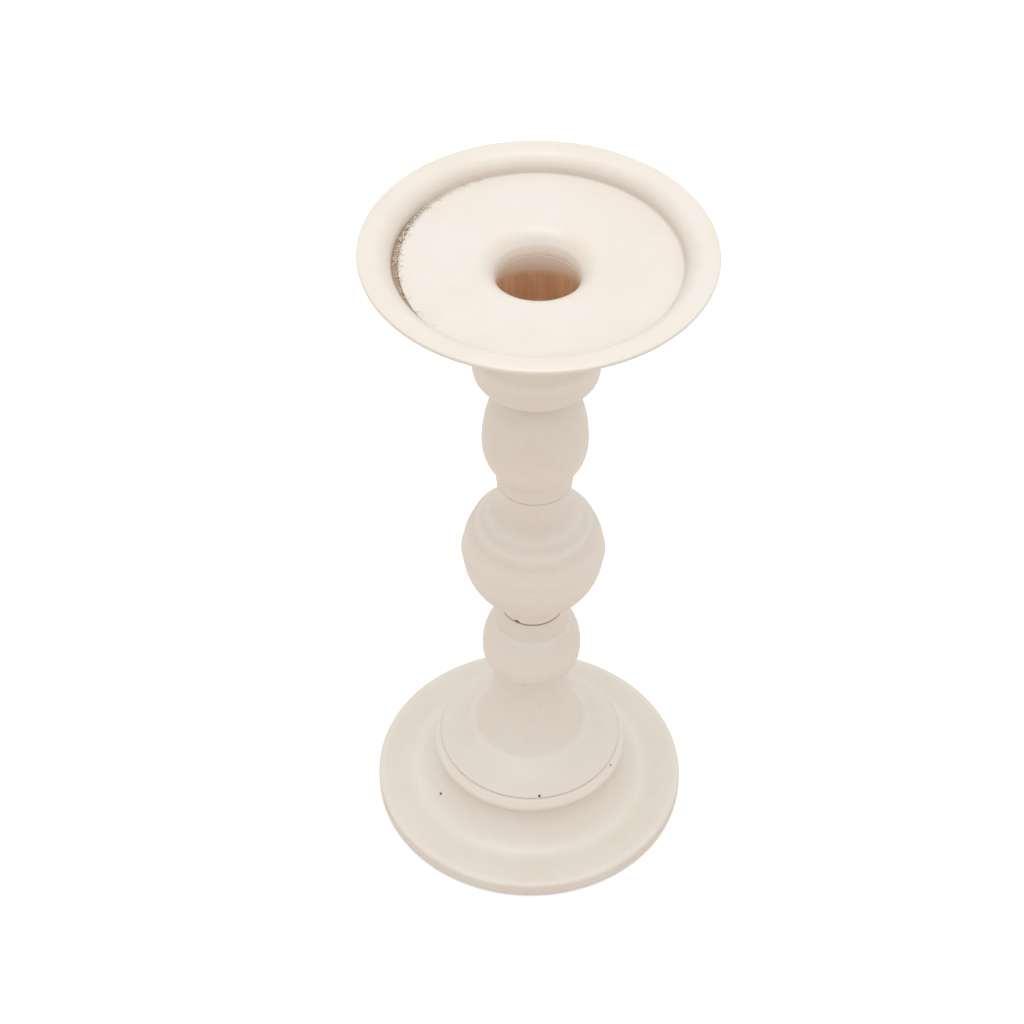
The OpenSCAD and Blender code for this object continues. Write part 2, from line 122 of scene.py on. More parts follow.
def make_world(name):
    """A sky that is brightest straight above, and a little warm towards the horizon."""
    world = bpy.data.worlds.new(name)
    world.use_nodes = True
    tree = world.node_tree
    way = tree.nodes.new("ShaderNodeTexCoord").outputs["Generated"]
    split = tree.nodes.new("ShaderNodeSeparateXYZ")
    tree.links.new(way, split.inputs[0])

    def rising(low, high):
        """A vector that goes from low at the horizon to high straight above."""
        grade = tree.nodes.new("ShaderNodeMapRange")
        grade.data_type = "FLOAT_VECTOR"
        sockets = {socket.identifier: socket for socket in grade.inputs}
        sockets["From_Min_FLOAT3"].default_value = (0, 0, 0)
        sockets["From_Max_FLOAT3"].default_value = (1, 1, 1)
        sockets["To_Min_FLOAT3"].default_value = low
        sockets["To_Max_FLOAT3"].default_value = high
        tree.links.new(split.outputs["Z"], sockets["Vector"])
        return grade.outputs["Vector"]

    strength = tree.nodes.new("ShaderNodeVectorMath")
    strength.operation = "DOT_PRODUCT"
    strength.inputs[1].default_value = (SKY_STRENGTH, 0, 0)
    tree.links.new(rising((SKY_LOW,) * 3, (1, 1, 1)), strength.inputs[0])
    background = tree.nodes["Background"]
    tree.links.new(rising(HORIZON, ZENITH), background.inputs["Color"])
    tree.links.new(strength.outputs["Value"], background.inputs["Strength"])
    bpy.context.scene.world = world


# ---- Materials ----


class Finish:
    """A material being made, with short calls for the nodes it uses. Sizes are in mm."""

    def __init__(self, name, **sockets):
        self.material = bpy.data.materials.new(name)
        self.material.use_nodes = True
        self.tree = self.material.node_tree
        self.tree.nodes.clear()
        self.shader = self.tree.nodes.new("ShaderNodeBsdfPrincipled")
        out = self.tree.nodes.new("ShaderNodeOutputMaterial")
        self.tree.links.new(self.shader.outputs[0], out.inputs[0])
        where = self.tree.nodes.new("ShaderNodeTexCoord").outputs["Object"]
        self.place = self.node("ShaderNodeVectorMath", [where, None, None, 1 / MM], operation="SCALE")
        for socket, value in sockets.items():
            self.set(socket.replace("_", " "), value)

    def put(self, socket, value):
        if value is None:
            return
        if isinstance(value, bpy.types.NodeSocket):
            self.tree.links.new(value, socket)
        else:
            socket.default_value = value

    def set(self, socket, value):
        if isinstance(value, tuple):
            value = (*value, 1)
        self.put(self.shader.inputs[socket], value)

    def node(self, kind, values, output=0, **settings):
        made = self.tree.nodes.new(kind)
        for key, value in settings.items():
            setattr(made, key, value)
        for key, value in values.items() if isinstance(values, dict) else enumerate(values):
            self.put(made.inputs[key], value)
        return made.outputs[output]

    def math(self, how, *values):
        return self.node("ShaderNodeMath", values, operation=how)

    def stretched(self, stretch):
        return self.node("ShaderNodeVectorMath", [self.place, stretch], operation="MULTIPLY")

    def noise(self, size, detail=2.0, roughness=0.5, stretch=None, distortion=0.0):
        where = self.stretched(stretch) if stretch else self.place
        values = {
            "Vector": where,
            "Scale": 1 / size,
            "Detail": detail,
            "Roughness": roughness,
            "Distortion": distortion,
        }
        return self.node("ShaderNodeTexNoise", values)

    def spots(self, size, stretch=None):
        where = self.stretched(stretch) if stretch else self.place
        return self.node("ShaderNodeTexVoronoi", {"Vector": where, "Scale": 1 / size})

    def attribute(self, name):
        return self.node("ShaderNodeAttribute", [], output="Fac", attribute_name=name)

    def fade(self, value, low, high, start=0.0, end=1.0):
        return self.node(
            "ShaderNodeMapRange", [value, low, high, start, end], interpolation_type="SMOOTHSTEP"
        )

    def mix(self, share, a, b):
        made = self.tree.nodes.new("ShaderNodeMix")
        made.data_type = "RGBA"
        self.put(made.inputs[0], share)
        for socket, value in ((made.inputs[6], a), (made.inputs[7], b)):
            self.put(socket, (*value, 1) if isinstance(value, tuple) else value)
        return made.outputs[2]

    def bump(self, height, depth, normal=None):
        values = {"Strength": 1.0, "Distance": depth * MM, "Height": height, "Normal": normal}
        return self.node("ShaderNodeBump", values)


CREAM = (0.700, 0.650, 0.595)
CREAM_WARM = (0.690, 0.628, 0.560)
CREAM_PALE = (0.730, 0.690, 0.645)
# A deeper cream, used for specks and random tone, and as painted shade in the creases
CREAM_DEEP = (0.500, 0.430, 0.365)
# Painted shade inside the pits
PIT_SHADE = (0.085, 0.060, 0.045)
THIN_PAINT = (0.700, 0.545, 0.420)
# A lighter coat in the candle's hole, a painted light
BORE_PAINTED_LIGHT = (0.830, 0.765, 0.680)
BARE_LIGHT = (0.690, 0.460, 0.290)
BARE_DARK = (0.590, 0.375, 0.225)
# Paler paint on the ridges, a painted highlight
RIDGE_HIGHLIGHT = (0.860, 0.800, 0.735)
# The brown of the crack and the groove, also used as painted shade by the groove's open edge and on
# the dish's slope
GAP_AND_SHADE_BROWN = (0.360, 0.270, 0.190)
FIBRE_PALE = (0.760, 0.700, 0.620)
BEECH_LIGHT = (0.56, 0.36, 0.20)
BEECH_DARK = (0.40, 0.235, 0.12)
BEECH_RAY = (0.27, 0.14, 0.07)
BEECH_WARM = (0.62, 0.43, 0.26)
ZINC_PALE = (0.62, 0.62, 0.64)
ZINC_DULL = (0.50, 0.51, 0.53)
ZINC_LINE = (0.36, 0.36, 0.37)
FELT_DARK = (0.030, 0.055, 0.038)
FELT_PALE = (0.060, 0.095, 0.070)
FELT_CLUMP = (0.045, 0.070, 0.050)
FELT_HAIR = (0.12, 0.16, 0.13)
BOUNCE = (0.800, 0.725, 0.670)
PALE_FLOOR = (0.940, 0.940, 0.940)
FLOOR_CLOUD = 0.015
FLOOR_LIFT = (0.250, 0.250, 0.250)
def paint_finish(name, grain):
    """Satin cream paint, and the bare wood that shows where there is none.

    grain is the direction that the wood grows in. The points' values are: paint, how far inside the
    paint's edge it is; hollow, pit, ridge and gap, how much of each it is; bore, whether it is in
    the candle's hole."""
    made = Finish(name, IOR=1.5, Specular_IOR_Level=0.5)
    paint, hollow, pit = (made.attribute(name) for name in ("paint", "hollow", "pit"))
    bore, gap, ridge_highlight = (made.attribute(name) for name in ("bore", "gap", "ridge_highlight"))
    cloud = made.noise(26.0, detail=3.0, roughness=0.55)
    mottle = made.noise(5.5, detail=4.0, roughness=0.6)
    grit = made.noise(0.9, detail=3.0, roughness=0.65)
    speck = made.fade(made.noise(1.6, detail=1.0), 0.70, 0.76)

    coat = made.mix(made.fade(cloud, 0.32, 0.68), CREAM, CREAM_WARM)
    coat = made.mix(made.fade(mottle, 0.40, 0.72, 0.0, 0.22), coat, CREAM_PALE)
    # The ridges are lightened, a painted highlight
    coat = made.mix(ridge_highlight, coat, RIDGE_HIGHLIGHT)
    coat = made.mix(made.math("MULTIPLY", speck, 0.12), coat, CREAM_DEEP)
    # The creases are darkened, a painted shade
    coat = made.mix(made.fade(hollow, 0.10, 1.0, 0.0, 0.20), coat, CREAM_DEEP)
    # The coat in the candle's hole is lightened, a painted light
    coat = made.mix(made.math("MULTIPLY", bore, 0.8), coat, BORE_PAINTED_LIGHT)
    wear_and_light = made.math("MULTIPLY", bore, made.fade(paint, -0.5, 5.0, 0.85, 0.0))
    coat = made.mix(wear_and_light, coat, THIN_PAINT)
    # The pits are darkened, a painted shade inside them
    coat = made.mix(made.fade(pit, 0.05, 0.6), coat, PIT_SHADE)

    stretch = tuple(0.12 if g else 1.0 for g in grain)
    rings = made.noise(2.4, detail=4.0, roughness=0.62, stretch=stretch, distortion=0.6)
    pores = made.spots(0.55, stretch=stretch)
    wood = made.mix(made.fade(rings, 0.34, 0.66), BARE_LIGHT, BARE_DARK)
    wood = made.mix(made.fade(pores, 0.0, 0.22, 0.45, 0.0), wood, BARE_DARK)

    ragged = made.math("MULTIPLY_ADD", made.noise(1.1, detail=3.0), 0.9, paint)
    blur = made.math("MULTIPLY_ADD", bore, 1.5, 0.12)
    share = made.fade(made.math("SUBTRACT", ragged, 0.45), made.math("MULTIPLY", blur, -1.0), blur)
    skin_colour = made.mix(share, wood, coat)
    # Brown of the crack and the groove, with painted shade by the groove's open edge and on the slope
    made.set("Base Color", made.mix(made.fade(gap, 0.2, 0.9), skin_colour, GAP_AND_SHADE_BROWN))

    satin = made.fade(mottle, 0.30, 0.75, 0.31, 0.42)
    satin = made.math("MULTIPLY_ADD", grit, 0.06, satin)
    dull = made.fade(rings, 0.3, 0.7, 0.62, 0.80)
    rough = made.node("ShaderNodeMix", [share, None, dull, satin], data_type="FLOAT")
    made.set("Roughness", rough)

    peel = made.noise(1.3, detail=2.0, roughness=0.55)
    grown = made.math("MULTIPLY", rings, made.fade(share, 0.0, 1.0, 1.0, 0.35))
    skin = made.bump(grown, 0.05)
    skin = made.bump(peel, 0.018, skin)
    made.set("Normal", made.bump(grit, 0.006, skin))
    return made.material


def beech_finish(name):
    made = Finish(name, IOR=1.5)
    rings = made.noise(1.7, detail=4.0, roughness=0.6, stretch=(1.0, 1.0, 0.08), distortion=0.4)
    rays = made.spots(0.7, stretch=(1.0, 1.0, 0.22))
    cloud = made.noise(9.0, detail=2.0)
    wood = made.mix(made.fade(rings, 0.32, 0.68), BEECH_LIGHT, BEECH_DARK)
    wood = made.mix(made.fade(rays, 0.0, 0.25, 0.55, 0.0), wood, BEECH_RAY)
    wood = made.mix(made.fade(cloud, 0.35, 0.75, 0.0, 0.3), wood, BEECH_WARM)
    made.set("Base Color", wood)
    made.set("Roughness", made.fade(rings, 0.3, 0.7, 0.55, 0.72))
    made.set("Normal", made.bump(rays, 0.03, made.bump(rings, 0.04)))
    return made.material


def steel_finish(name):
    made = Finish(name, Metallic=1.0)
    spangle = made.noise(1.4, detail=3.0, roughness=0.6)
    lines = made.noise(0.35, detail=2.0, stretch=(0.2, 0.2, 2.5))
    tint = made.mix(made.fade(spangle, 0.35, 0.7), ZINC_PALE, ZINC_DULL)
    made.set("Base Color", made.mix(made.fade(lines, 0.55, 0.8, 0.0, 0.4), tint, ZINC_LINE))
    made.set("Roughness", made.fade(spangle, 0.3, 0.7, 0.24, 0.42))
    made.set("Normal", made.bump(lines, 0.01))
    return made.material


def felt_finish(name):
    made = Finish(name, Sheen_Weight=0.5, Sheen_Roughness=0.5)
    fluff = made.noise(0.7, detail=4.0, roughness=0.7, distortion=1.2)
    clumps = made.noise(4.5, detail=3.0, roughness=0.6)
    hairs = made.noise(0.5, detail=2.0, stretch=(0.25, 1.0, 1.0), distortion=2.0)
    tint = made.mix(made.fade(fluff, 0.3, 0.7), FELT_DARK, FELT_PALE)
    tint = made.mix(made.fade(clumps, 0.4, 0.7, 0.0, 0.45), tint, FELT_CLUMP)
    made.set("Base Color", made.mix(made.fade(hairs, 0.62, 0.75, 0.0, 0.5), tint, FELT_HAIR))
    made.set("Roughness", made.fade(fluff, 0.3, 0.7, 0.86, 0.98))
    made.set("Normal", made.bump(hairs, 0.15, made.bump(fluff, 0.25)))
    return made.material


def fibre_finish(name):
    made = Finish(name, IOR=1.45)
    streak = made.noise(0.25, detail=2.0)
    cloud = made.noise(3.0, detail=2.0)
    tint = made.mix(made.fade(streak, 0.35, 0.7, 0.0, 0.5), FIBRE_PALE, CREAM_WARM)
    made.set("Base Color", made.mix(made.fade(cloud, 0.45, 0.7, 0.0, 0.4), tint, CREAM_DEEP))
    made.set("Roughness", made.fade(streak, 0.3, 0.7, 0.6, 0.8))
    made.set("Normal", made.bump(streak, 0.01))
    return made.material


def floor_finish(name):
    """The pale floor. The light it sends back up is weaker and warmer than the floor looks."""
    made = Finish(name)
    cloud = made.noise(160.0, detail=2.0)
    seen = made.tree.nodes.new("ShaderNodeLightPath").outputs["Is Camera Ray"]
    low, high = (tuple(share * c for c in PALE_FLOOR) for share in (1 - FLOOR_CLOUD, 1 + FLOOR_CLOUD))
    pale = made.mix(cloud, low, high)
    made.set("Base Color", made.mix(seen, BOUNCE, pale))
    made.set("Emission Color", FLOOR_LIFT)
    made.set("Emission Strength", seen)
    made.set("Roughness", made.fade(cloud, 0.3, 0.7, 0.75, 0.85))
    return made.material


# ---- Outlines ----

FINE_STEP = 0.04
# Rings of the CAD mesh this near each other are one corner
SAME_RING = 0.03
# Two lines that meet at less than this turn, and aren't much unlike in length, are parts of an arc
SMOOTH_TURN = math.radians(12)
SMOOTH_RATIO = 3.0
GRADING_POINTS = 40001


def numbers(items, field, width):
    values = np.empty(len(items) * width, dtype=np.float64 if field == "co" else np.int64)
    items.foreach_get(field, values)
    return values.reshape(-1, width)


def corners_of(node):
    """The [radius, height] corners of a turned CAD node's outline in mm, in order from its lowest
    end up its outside, and whether the outline is closed, as it is where a hole goes right through."""
    mesh = frame["nodes"][node].data
    co = numbers(mesh.vertices, "co", 3) / MM
    flat = np.column_stack([np.hypot(co[:, 0], co[:, 1]), co[:, 2]])
    places, ring = np.unique(flat.round(2), axis=0, return_inverse=True)
    same = np.arange(len(places))
    for i in range(len(places)):
        near = np.nonzero(np.hypot(*(places[:i] - places[i]).T) < SAME_RING)[0]
        if len(near):
            same[i] = same[near[0]]
    ring = same[ring.ravel()]
    links = {i: set() for i in set(ring.tolist())}
    for a, b in ring[numbers(mesh.edges, "vertices", 2)].tolist():
        if a != b:
            links[a].add(b)
            links[b].add(a)
    if any(len(near) > 2 for near in links.values()):
        raise ValueError(f"the outline of {node} branches")
    ends = [i for i in links if len(links[i]) == 1]
    path = [min(ends or links, key=lambda i: (places[i][1], places[i][0]))]
    onward = sorted(links[path[0]], key=lambda i: -places[i][0])
    while onward:
        path.append(onward[0])
        onward = [i for i in links[path[-1]] if i != path[-2] and i != path[0]]
    return places[path], not ends


def fine_outline(corners, closed):
    """Close points along the outline: a smooth curve through the corners of each arc, and straight
    lines between sharp corners."""
    count = len(corners)
    last = count if closed else count - 1
    lines = np.array([corners[(i + 1) % count] - corners[i] for i in range(last)])
    spans = np.hypot(*lines.T)
    ways = lines / spans[:, None]
    bends = [None] * count
    for i in range(count):
        before, after = (i - 1, i) if i or closed else (None, None)
        if before is None or after >= last:
            continue
        turn = math.acos(max(-1, min(1, float(ways[before] @ ways[after]))))
        ratio = max(spans[before], spans[after]) / min(spans[before], spans[after])
        if turn < SMOOTH_TURN and ratio < SMOOTH_RATIO:
            bend = ways[before] * spans[after] + ways[after] * spans[before]
            bends[i] = bend / np.hypot(*bend)
    points = []
    for i in range(last):
        start, end = bends[i], bends[(i + 1) % count]
        way = ways[i]
        if start is None and end is None:
            start = end = way
        elif start is None:
            start = 2 * (end @ way) * way - end
        elif end is None:
            end = 2 * (start @ way) * way - start
        t = np.linspace(0, 1, max(2, math.ceil(spans[i] / FINE_STEP)), endpoint=False)[:, None]
        a, b = corners[i], corners[(i + 1) % count]
        points.append(
            (2 * t**3 - 3 * t**2 + 1) * a
            + (t**3 - 2 * t**2 + t) * start * spans[i]
            + (3 * t**2 - 2 * t**3) * b
            + (t**3 - t**2) * end * spans[i]
        )
    points.append(corners[[0 if closed else -1]])
    return np.vstack(points)


def evenly(points, step):
    along = np.append(0, np.cumsum(np.hypot(*np.diff(points, axis=0).T)))
    wanted = np.linspace(0, along[-1], math.ceil(along[-1] / step) + 1)
    return wanted, np.column_stack([np.interp(wanted, along, points[:, i]) for i in (0, 1)])


def blurred(values, width, closed):
    """values, a step apart, smoothed over width steps."""
    reach = math.ceil(3 * width)
    weights = np.exp(-0.5 * (np.arange(-reach, reach + 1) / width) ** 2)
    if closed:
        padded = np.concatenate([values[-reach - 1 : -1], values, values[1 : reach + 1]])
    else:
        padded = np.concatenate([np.full(reach, values[0]), values, np.full(reach, values[-1])])
    return np.convolve(padded, weights / weights.sum(), mode="valid")


def graded(length, step, spots=()):
    """Places from 0 to length, step(place) apart, and closer round each (place, reach, step) spot."""
    fine = np.linspace(0, length, GRADING_POINTS)
    density = 1 / step(fine)
    for place, reach, close in spots:
        density = np.maximum(density, np.exp(-(((fine - place) / reach) ** 2)) / close)
    total = np.append(0, np.cumsum((density[1:] + density[:-1]) / 2 * np.diff(fine)))
    return np.interp(np.linspace(0, total[-1], math.ceil(total[-1]) + 1), total, fine)


# ---- Relief ----


def ripple(rng, along, angle, depth, shortest=0.8, longest=3.2, count=9):
    """The gouge's ripple along the outline, from 0 to depth, a little different all the way round."""
    total = np.zeros(np.broadcast(along, angle).shape)
    for _ in range(count):
        size = math.exp(rng.uniform(math.log(shortest), math.log(longest)))
        lean, start, drift = rng.uniform(-0.6, 0.6), rng.uniform(0, math.tau), rng.uniform(0, math.tau)
        total += np.cos(math.tau * along / size + start + lean * np.cos(angle + drift))
    return depth * (0.5 + 0.5 * total / count * 1.6).clip(0, 1)


def sway(rng, along, angle, depth, count=7):
    """Slow unevenness of the paint and of the sanding, from 0 to depth."""
    total = np.zeros(np.broadcast(along, angle).shape)
    for _ in range(count):
        turns, size = rng.integers(1, 6), rng.uniform(9, 30)
        total += np.cos(turns * angle + math.tau * along / size + rng.uniform(0, math.tau))
    return depth * (0.5 + 0.5 * total / count * 1.5).clip(0, 1)


def apart(angle, other):
    return (angle - other + math.pi) % math.tau - math.pi


def bell(distance, size):
    return np.exp(-((distance / size) ** 2))


# ---- Turned pieces ----

# How far the paint runs into a seam
SEAM_PAINT = 1.6
RUN_IN = (SEAM_PAINT, SEAM_PAINT)
# The rounding of corners, and how wide the creases are that get painted shade
SOFTNESS = 0.28
HOLLOW_WIDTH = 0.45
HOLLOW_GAIN = 1.1
# The distance between rows: where it is seen, further than HIDDEN_FROM inside a seam, and at bends
ROW_STEP = 0.55
HIDDEN_STEP = 2.6
HIDDEN_FROM = 2.0
CORNER_STEP = 0.10
BEND_STEP = 0.12
LEAST_BEND = 0.02
BASE_ANGLES = 260
# A pit's closer rows and columns: how far they reach and how close they are, in its own sizes
PIT_REACH = 2.5
PIT_STEP = 1 / 3
# How deep a pit is where its painted shade is full
DARK_PIT = 0.2
# Relief is faint inside a seam, and grows over this distance
FAINT_RELIEF = 0.15
RELIEF_REACH = 0.6
# How strong and how widely spread the painted highlights on the ridges are
RIDGE_SHARE = 0.42
RIDGE_SPREAD = 1.25
OUT_OF_REACH = 1e6


def place_on(rz, along, r, z):
    """How far along the outline the point nearest to (r, z) is."""
    return float(along[np.argmin(np.hypot(rz[:, 0] - r, rz[:, 1] - z))])


def softened(rz, along, closed, softness, melt):
    """The outline's r and z with its corners rounded, and rounded more where melt says."""
    soft = [blurred(rz[:, i], softness / FINE_STEP, closed) for i in (0, 1)]
    for at, reach, melted in melt:
        share = bell(along - place_on(rz, along, *at), reach)
        for i in (0, 1):
            melted_rz = blurred(rz[:, i], melted / FINE_STEP, closed)
            soft[i] = soft[i] + share * (melted_rz - soft[i])
    return soft


def bend_of(way, closed):
    """How sharply the outline turns at each of its points, in radians per mm."""
    heading = np.unwrap(np.arctan2(way[:, 1], way[:, 0]))
    even_turn = np.linspace(heading[0], heading[-1], len(heading))
    bend = np.gradient(blurred(heading - even_turn, 3, closed))
    return (bend + (heading[-1] - heading[0]) / (len(heading) - 1)) / FINE_STEP


class Turned:
    """One turned section: its CAD node's outline as a grid of points, to which relief is added.

    paint_from and paint_to are the (r, z) ends of what is shown, and run_in is how far the paint
    runs on past them. pits are (degrees, (r, z), size, depth), melt makes a stretch of the outline
    softer as ((r, z), reach, softness), and ridges are paler as ((r, z), size, share)."""

    def __init__(
        self, name, node, seed, paint_from, paint_to,
        softness=SOFTNESS, step=ROW_STEP, pits=(), run_in=RUN_IN, melt=(), ridges=(),
    ):
        self.name, self.node = name, node
        self.rng = np.random.default_rng(seed)
        corners, self.closed = corners_of(node)
        along, rz = evenly(fine_outline(corners, self.closed), FINE_STEP)
        r, z = softened(rz, along, self.closed, softness, melt)
        way = np.column_stack([np.gradient(r), np.gradient(z)])
        way /= np.hypot(*way.T)[:, None]
        bend = bend_of(way, self.closed)
        wide = blurred(bend, HOLLOW_WIDTH / FINE_STEP, self.closed)
        self.start, self.end = (place_on(rz, along, *point) for point in (paint_from, paint_to))
        depth_in = np.minimum(along - self.start + run_in[0], self.end - along + run_in[1])
        self.pits = [
            (math.radians(a), place_on(rz, along, *at), size, deep) for a, at, size, deep in pits
        ]

        def spacing(places):
            curve = np.interp(places, along, np.abs(bend))
            shown = np.interp(places, along, depth_in) > -HIDDEN_FROM
            coarse = np.where(shown, step, HIDDEN_STEP)
            close = CORNER_STEP + BEND_STEP / (curve + LEAST_BEND)
            return np.minimum(coarse, close).clip(CORNER_STEP, None)

        rows = [(place, size * PIT_REACH, size * PIT_STEP) for _, place, size, _ in self.pits]
        self.along = graded(along[-1], spacing, rows)
        if self.closed:
            self.along = self.along[:-1]

        def at_rows(values):
            return np.interp(self.along, along, values)

        self.r, self.z = at_rows(r), at_rows(z)
        self.out = np.column_stack([at_rows(way[:, 1]), at_rows(-way[:, 0])])
        # Painted shade in the creases, from how sharply the outline turns inward
        self.hollow = at_rows((-wide * HOLLOW_GAIN).clip(0, 1))

        columns = []
        for angle, place, size, _ in self.pits:
            turn = size / np.interp(place, self.along, self.r)
            columns.append((angle % math.tau, turn * PIT_REACH, turn * PIT_STEP))
        angles = graded(math.tau, lambda a: np.full_like(a, math.tau / BASE_ANGLES), columns)[:-1]
        self.angle = angles[None, :]

        self.move = np.zeros((len(self.along), len(angles)))
        self.shift = np.zeros((*self.move.shape, 2))
        self.pit, self.bore, self.gap = (np.zeros_like(self.move) for _ in range(3))
        self.depth_in = at_rows(depth_in)
        self.paint = self.all_round(self.depth_in)
        # Painted highlight along the ridges
        wear_and_light = np.zeros_like(self.along)
        for at, size, share in ridges:
            crest = bell(self.along - place_on(rz, along, *at), RIDGE_SPREAD * size)
            wear_and_light = wear_and_light + RIDGE_SHARE * share * crest
        self.ridge_highlight = self.all_round(wear_and_light)

    def all_round(self, values):
        """A value per row, the same at every angle."""
        return np.repeat(values[:, None], self.move.shape[1], axis=1)

    def roughen(self, gouge=0.035, uneven=0.05):
        """The relief of a turned, painted surface, faint inside the seams, and the pits."""
        shown = np.clip(self.depth_in / RELIEF_REACH, FAINT_RELIEF, 1)[:, None]
        place = self.along[:, None]
        self.move -= shown * ripple(self.rng, place, self.angle, gouge)
        self.move -= shown * sway(self.rng, place, self.angle, uneven)
        for angle, pit_at, size, deep in self.pits:
            across = self.r[:, None] * apart(self.angle, angle)
            mark = bell(np.hypot(across, place - pit_at), size)
            self.move -= deep * mark
            # Pits are darkened by their depth, a painted shade inside them
            self.pit = np.maximum(self.pit, mark * min(1, max(0, deep / DARK_PIT)))

    def swell(self, r, z, width, height):
        """Raises the surface by height all round, over width, at the shown point near (r, z)."""
        inside = (self.along > self.start) & (self.along < self.end)
        gap = np.abs(self.z - z) + np.abs(self.r - r) + np.where(inside, 0, OUT_OF_REACH)
        place = self.along[int(np.argmin(gap))]
        self.move += height * bell(self.along - place, width)[:, None]

    def build(self, slot, material):
        rows, columns = self.move.shape
        r = self.r[:, None] + self.out[:, :1] * self.move + self.shift[..., 0]
        z = self.z[:, None] + self.out[:, 1:] * self.move + self.shift[..., 1]
        points = np.stack([r * np.cos(self.angle), r * np.sin(self.angle), z], axis=-1)
        points = points.reshape(-1, 3)
        a = np.arange(rows * columns).reshape(rows, columns)
        lower = a if self.closed else a[:-1]
        upper = np.roll(a, -1, axis=0) if self.closed else a[1:]
        quads = np.stack([lower, np.roll(lower, -1, 1), np.roll(upper, -1, 1), upper], axis=-1)
        faces = quads.reshape(-1, 4).tolist()
        values = {
            "paint": self.paint,
            "hollow": self.all_round(self.hollow),
            "pit": self.pit,
            "bore": self.bore,
            "gap": self.gap,
            "ridge_highlight": self.ridge_highlight,
        }
        values = {key: value.ravel() for key, value in values.items()}
        if not self.closed:
            for row, ordered in ((0, -1), (rows - 1, 1)):
                hub = len(points)
                points = np.vstack([points, [0, 0, z[row].mean()]])
                values = {key: np.append(value, value[-1]) for key, value in values.items()}
                ring = a[row][::ordered].tolist()
                faces += [[ring[i], ring[(i + 1) % columns], hub] for i in range(columns)]
        return make_piece(self.name, points, faces, values, slot, material, self.node)


def make_piece(name, points, faces, values, slot, material, *nodes):
    """A smooth mesh from points in mm, with a value per point for each name in values."""
    mesh = bpy.data.meshes.new(name)
    mesh.from_pydata((points * MM).tolist(), [], faces)
    for key, value in values.items():
        if len(value) != len(points):
            raise ValueError(f"{name} has {len(points)} points, but {len(value)} values of {key}")
        given = value.astype(np.float32)
        mesh.attributes.new(key, "FLOAT", "POINT").data.foreach_set("value", given)
    mesh.shade_smooth()
    mesh.materials.append(material)
    piece = bpy.data.objects.new(name, mesh)
    bpy.context.collection.objects.link(piece)
    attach(piece, "root")
    if nodes:
        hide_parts(*nodes)
    return piece


# ---- The candlestick ----

make_camera()
make_light("overhead", OVERHEAD_AT, OVERHEAD_SIZE, OVERHEAD_POWER)
make_world("studio")
bpy.context.scene.view_settings.view_transform = "Standard"


def top_of(node):
    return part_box(node)[1].z / MM


def base_of(node):
    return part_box(node)[0].z / MM


def reach_of(node):
    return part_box(node)[1].x / MM


upright = paint_finish("cream_paint_on_upright_grain", (0, 0, 1))
level = paint_finish("cream_paint_on_level_grain", (1, 0, 0))

foot_low, foot_top, foot_r = base_of("foot"), top_of("foot"), reach_of("foot")
pedestal_top = top_of("pedestal")
lower_top, middle_top, upper_top = (top_of(n) for n in ("lower_ball", "middle_ball", "upper_bulb"))
cup_low, pan_low = base_of("socket_cup"), base_of("pan")
mounts = {m["name"]: m for m in frame["record"]["mounts"]}
bore = mounts["candle_socket"]
bore_r = bore["dims"]["r_mm"]
bore_bottom = bore["pos_m"][2] / MM - bore["dims"]["length_mm"] / 2
bore_top = bore_bottom + bore["dims"]["length_mm"]
dish_floor = mounts["pan_floor"]["pos_m"][2] / MM
mouth_reach = dish_floor - bore_top
pan_r = reach_of("pan")

# The radii at which the visible joints meet
STEM_JOINT_R = 12.0
BALL_JOINT_R = 15.3
CRACK_JOINT_R = 9.9
NECK_JOINT_R = 11.3
CUP_JOINT_R = 9.5
CUP_TOP_R = 18.5

# The paint inside the socket ends on a tilted line: its height on the axis, and its fall to the back
PAINT_EDGE_Z = bore_bottom + 16.75
PAINT_EDGE_FALL = 4.55
# How far below the rounded mouth the paint's edge stays, and how high up the mouth the socket's coat
# is lightened as a painted light and the paint thins
EDGE_BELOW_MOUTH = 2.5
MOUTH_LIGHT_AND_THINNING = 0.8
WALL_MARGIN = 0.3
# The open crack between the two balls: its outer radius, its width, and how far the paint runs in
CRACK_R = 10.4
CRACK_WIDTH = 0.35
CRACK_PAINT = 0.15


def open_crack(piece):
    """Darkens the open crack between the two balls."""
    near = bell(piece.z - lower_top, CRACK_WIDTH) * (piece.r < CRACK_R)
    piece.gap = np.maximum(piece.gap, near[:, None])


def paint_bore(piece):
    """Ends the paint in the socket at its tilted edge, thin as it nears it, and marks the socket,
    whose coat is lightened as a painted light.
    """
    y = piece.r[:, None] * np.sin(piece.angle)
    edge = np.minimum(PAINT_EDGE_Z - PAINT_EDGE_FALL * y / bore_r, bore_top - EDGE_BELOW_MOUTH)
    above = piece.z[:, None] - edge
    wall = (piece.r < bore_r + WALL_MARGIN) & (piece.z > bore_bottom - 1)
    mouth = (piece.r < bore_r + mouth_reach) & (piece.z > bore_top)
    inside = (wall | mouth)[:, None]
    piece.paint = np.where(inside, above, piece.paint)
    # The socket's coat is lightened as a painted light, fading out up the mouth
    light_and_thinning_reach = MOUTH_LIGHT_AND_THINNING * mouth_reach
    wear_and_light = ((bore_top + light_and_thinning_reach - piece.z) / light_and_thinning_reach).clip(0, 1)[:, None]
    piece.bore = np.where(inside, wear_and_light, piece.bore)


# The groove round the dish's floor: where it is, and the side that it opens to
GAP_IN, GAP_OUT = 39.6, 40.4
GAP_ANGLE = math.radians(180)
GAP_SPREAD = math.radians(38)
GAP_FLATNESS = 2.4
